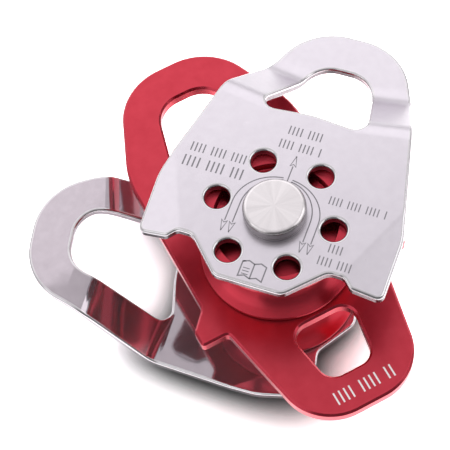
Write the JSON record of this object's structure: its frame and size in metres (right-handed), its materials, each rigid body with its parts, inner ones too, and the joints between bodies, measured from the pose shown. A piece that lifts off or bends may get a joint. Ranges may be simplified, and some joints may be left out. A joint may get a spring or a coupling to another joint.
{
  "type": "double rope pulley",
  "caption": "Rope pulley with grooved sheaves on ball bearings each side of a becket plate, between swinging cheeks with stepped-in eyes.",
  "frame": {"origin": "centre of the rear axle cap's flat outer face", "axes": "+Z along the axle from the rear cap to the front head; +Y from the axle along the fixed middle plate towards its connector eye"},
  "size_m": [0.1005, 0.1009, 0.0462],
  "materials": {
    "red_anodised": "satin red anodising on a tumbled plate with cut chamfers",
    "red_anodised_turned": "red anodising over a turned groove",
    "polished_steel": "tumble-polished stainless sheet, bright rounded edges",
    "turned_steel": "fine turned stainless",
    "spacer_steel": "plain turned steel",
    "bearing_steel": "ground and polished",
    "shield_steel": "pressed sheet",
    "spring_steel": "oil-blackened spring steel",
    "bush_bronze": "plain bearing bronze",
    "cage_brass": "pressed brass"
  },
  "bodies": {
    "axle_frame": {"middle_plate": "red_anodised", "axle": "turned_steel", "rear_cap": "turned_steel", "front_cheek_bush": "bush_bronze", "rear_cheek_bush": "bush_bronze", "front_inner_spacer": "spacer_steel", "rear_inner_spacer": "spacer_steel", "front_outer_spacer": "spacer_steel", "rear_outer_spacer": "spacer_steel", "front_inner_race": "bearing_steel", "rear_inner_race": "bearing_steel"},
    "front_cheek": {"front_cheek": "polished_steel"},
    "rear_cheek": {"rear_cheek": "polished_steel"},
    "front_sheave": {"front_sheave": "red_anodised_turned", "front_outer_race": "bearing_steel", "front_inner_shield": "shield_steel", "front_outer_shield": "shield_steel", "front_retaining_ring": "spring_steel"},
    "rear_sheave": {"rear_sheave": "red_anodised_turned", "rear_outer_race": "bearing_steel", "rear_inner_shield": "shield_steel", "rear_outer_shield": "shield_steel", "rear_retaining_ring": "spring_steel"},
    "front_ball_set": {"front_balls": "bearing_steel", "front_ball_cage": "cage_brass"},
    "rear_ball_set": {"rear_balls": "bearing_steel", "rear_ball_cage": "cage_brass"}
  },
  "joints": [
    {"name": "front_cheek_swing", "type": "hinge", "parent": "axle_frame", "child": "front_cheek", "pos_m": [0, 0, 0.04165], "axis": [0, 0, 1], "continuous": true},
    {"name": "rear_cheek_swing", "type": "hinge", "parent": "axle_frame", "child": "rear_cheek", "pos_m": [0, 0, 0.00455], "axis": [0, 0, 1], "continuous": true},
    {"name": "front_sheave_spin", "type": "hinge", "parent": "axle_frame", "child": "front_sheave", "pos_m": [0, 0, 0.0326], "axis": [0, 0, 1], "continuous": true},
    {"name": "rear_sheave_spin", "type": "hinge", "parent": "axle_frame", "child": "rear_sheave", "pos_m": [0, 0, 0.0136], "axis": [0, 0, 1], "continuous": true},
    {"name": "front_ball_spin", "type": "hinge", "parent": "axle_frame", "child": "front_ball_set", "pos_m": [0, 0, 0.0326], "axis": [0, 0, 1], "continuous": true},
    {"name": "rear_ball_spin", "type": "hinge", "parent": "axle_frame", "child": "rear_ball_set", "pos_m": [0, 0, 0.0136], "axis": [0, 0, 1], "continuous": true}
  ],
  "couplings": [
    {"joint": "front_ball_spin", "follows": "front_sheave_spin", "ratio": 0.61111},
    {"joint": "rear_ball_spin", "follows": "rear_sheave_spin", "ratio": 0.61111}
  ]
}
